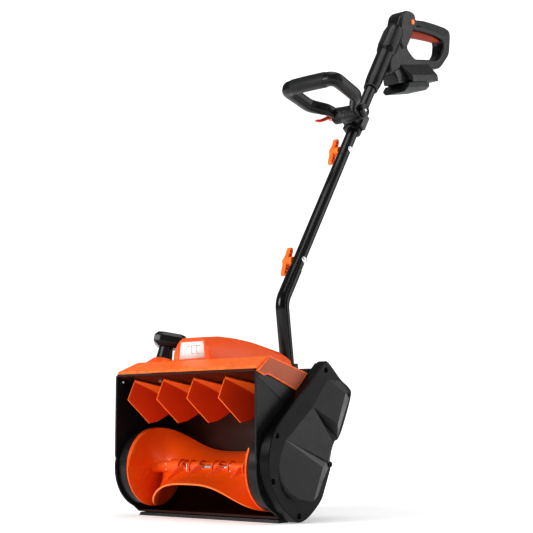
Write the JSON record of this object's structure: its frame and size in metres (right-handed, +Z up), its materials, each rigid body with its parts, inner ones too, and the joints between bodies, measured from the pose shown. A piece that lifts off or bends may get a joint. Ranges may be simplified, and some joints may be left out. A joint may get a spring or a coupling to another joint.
{
  "type": "snow blower",
  "caption": "Hand-held cordless snow blower: open-front housing, paddle rotor, swinging vanes with a top knob, side belt cover, jointed tube, tilting front loop and a battery handle.",
  "frame": {"origin": "on the ground straight below the middle of the rotor axis, on the scraper's flat underside", "axes": "+Z up, -Y the way the machine is pushed and throws snow, +X towards the belt cover"},
  "size_m": [0.386, 0.958, 1.1486],
  "materials": {
    "housing_black": "moulded black plastic, satin gloss outside",
    "cover_black": "fine-textured charcoal plastic",
    "orange_plastic": "glossy moulded orange plastic",
    "handle_grey": "fine-textured dark grey plastic",
    "grip_rubber": "matt soft overmoulding",
    "tube_black": "gloss black powder coat on steel tube",
    "steel": "bright zinc-plated or brushed steel",
    "motor_steel": "plain rolled steel can",
    "pulley_grey": "glass-filled nylon",
    "belt_rubber": "matt black belt rubber",
    "label_white": null,
    "board_green": "lacquered circuit board",
    "cable_black": "soft cable jacket",
    "battery_black": "fine-textured dark battery case"
  },
  "bodies": {
    "housing": {"scoop_shell": "housing_black", "left_side_plate": "housing_black", "right_side_plate": "housing_black", "scraper_bar": "cover_black", "scraper_screws": "steel", "left_bearing_drum": "housing_black", "right_bearing_drum": "housing_black", "rotor_bearings": "steel", "roof_bolts": "steel", "top_cover": "orange_plastic", "dome_cover": "orange_plastic", "label_plate": "label_white", "rear_housing": "housing_black", "tube_socket": "housing_black", "motor_can": "motor_steel", "motor_plate": "motor_steel", "controller_board": "board_green", "cover_backplate": "housing_black", "belt_cover": "cover_black", "belt_cover_screws": "steel", "drive_belt": "belt_rubber", "lower_tube": "tube_black", "middle_tube": "tube_black", "upper_tube": "tube_black", "lower_joint_bolt": "steel", "upper_joint_bolt": "steel", "power_cable": "cable_black", "clamp_front": "handle_grey", "clamp_rear": "handle_grey", "clamp_screws": "steel", "handle_shell_left": "handle_grey", "handle_shell_right": "handle_grey", "handle_screws": "steel", "grip_overmould": "grip_rubber", "trigger_switch": "handle_grey", "terminal_block": "pulley_grey"},
    "rotor": {"rotor_half_upper": "orange_plastic", "rotor_half_lower": "orange_plastic", "rotor_shaft": "steel", "rotor_screws": "steel", "driven_pulley": "pulley_grey"},
    "motor_rotor": {"motor_shaft": "steel", "drive_pulley": "pulley_grey"},
    "vane_1": {"vane_1": "orange_plastic", "steering_knob": "housing_black"},
    "vane_2": {"vane_2": "orange_plastic"},
    "vane_3": {"vane_3": "orange_plastic"},
    "vane_4": {"vane_4": "orange_plastic"},
    "vane_link": {"vane_link": "pulley_grey"},
    "lower_wing_knob": {"lower_wing_knob": "orange_plastic"},
    "upper_wing_knob": {"upper_wing_knob": "orange_plastic"},
    "front_handle": {"aux_handle_loop": "handle_grey", "aux_pivot_bolt": "steel"},
    "aux_knob": {"aux_knob": "housing_black"},
    "aux_lever": {"aux_lever": "orange_plastic"},
    "trigger": {"trigger": "orange_plastic"},
    "lock_button": {"lock_button": "orange_plastic"},
    "battery_pack": {"battery_pack": "battery_black"},
    "battery_latch": {"battery_latch": "battery_black"}
  },
  "joints": [
    {"name": "rotor_spin", "type": "hinge", "parent": "housing", "child": "rotor", "pos_m": [0, 0, 0.09], "axis": [1, 0, 0], "continuous": true},
    {"name": "motor_spin", "type": "hinge", "parent": "housing", "child": "motor_rotor", "pos_m": [0.18, 0.088, 0.228], "axis": [1, 0, 0], "continuous": true},
    {"name": "vane_1_swing", "type": "hinge", "parent": "housing", "child": "vane_1", "pos_m": [-0.12, -0.0135, 0.23992], "axis": [0, 0.2419, 0.9703], "range_deg": [-4.5, 45]},
    {"name": "vane_2_swing", "type": "hinge", "parent": "housing", "child": "vane_2", "pos_m": [-0.0458, -0.0135, 0.23992], "axis": [0, 0.2419, 0.9703], "range_deg": [-4.5, 45]},
    {"name": "vane_3_swing", "type": "hinge", "parent": "housing", "child": "vane_3", "pos_m": [0.0284, -0.0135, 0.23992], "axis": [0, 0.2419, 0.9703], "range_deg": [-4.5, 45]},
    {"name": "vane_4_swing", "type": "hinge", "parent": "housing", "child": "vane_4", "pos_m": [0.1026, -0.0135, 0.23992], "axis": [0, 0.2419, 0.9703], "range_deg": [-4.5, 45]},
    {"name": "vane_link_turn", "type": "hinge", "parent": "vane_1", "child": "vane_link", "pos_m": [-0.1123, 0.00649, 0.23493], "axis": [0, 0.2419, 0.9703], "range_deg": [-45, 4.5]},
    {"name": "lower_wing_knob_turn", "type": "hinge", "parent": "housing", "child": "lower_wing_knob", "pos_m": [0, 0.26577, 0.4982], "axis": [1, 0, 0], "continuous": true},
    {"name": "upper_wing_knob_turn", "type": "hinge", "parent": "housing", "child": "upper_wing_knob", "pos_m": [0, 0.43378, 0.75991], "axis": [1, 0, 0], "continuous": true},
    {"name": "front_handle_tilt", "type": "hinge", "parent": "housing", "child": "front_handle", "pos_m": [0, 0.45034, 0.84494], "axis": [1, 0, 0], "range_deg": [-55, 35]},
    {"name": "aux_knob_turn", "type": "hinge", "parent": "front_handle", "child": "aux_knob", "pos_m": [0, 0.45034, 0.84494], "axis": [1, 0, 0], "continuous": true},
    {"name": "aux_lever_open", "type": "hinge", "parent": "front_handle", "child": "aux_lever", "pos_m": [-0.046, 0.45034, 0.84494], "axis": [0, 0.2334, 0.9724], "range_deg": [-80, 0]},
    {"name": "trigger_press", "type": "slide", "parent": "housing", "child": "trigger", "axis": [0, -0.1392, 0.9903], "range_m": [0, 0.005], "stiffness_N_per_m": 900},
    {"name": "lock_button_press", "type": "slide", "parent": "housing", "child": "lock_button", "axis": [-1, 0, 0], "range_m": [0, 0.005], "stiffness_N_per_m": 400},
    {"name": "battery_slide", "type": "slide", "parent": "housing", "child": "battery_pack", "axis": [0, 0.9703, 0.2419], "range_m": [0, 0.11]},
    {"name": "battery_latch_press", "type": "slide", "parent": "battery_pack", "child": "battery_latch", "axis": [0, -0.9703, -0.2419], "range_m": [0, 0.001], "stiffness_N_per_m": 500}
  ],
  "couplings": [
    {"joint": "motor_spin", "follows": "rotor_spin", "ratio": 4.0714},
    {"joint": "vane_2_swing", "follows": "vane_1_swing", "ratio": 1},
    {"joint": "vane_3_swing", "follows": "vane_1_swing", "ratio": 1},
    {"joint": "vane_4_swing", "follows": "vane_1_swing", "ratio": 1},
    {"joint": "vane_link_turn", "follows": "vane_1_swing", "ratio": -1}
  ]
}
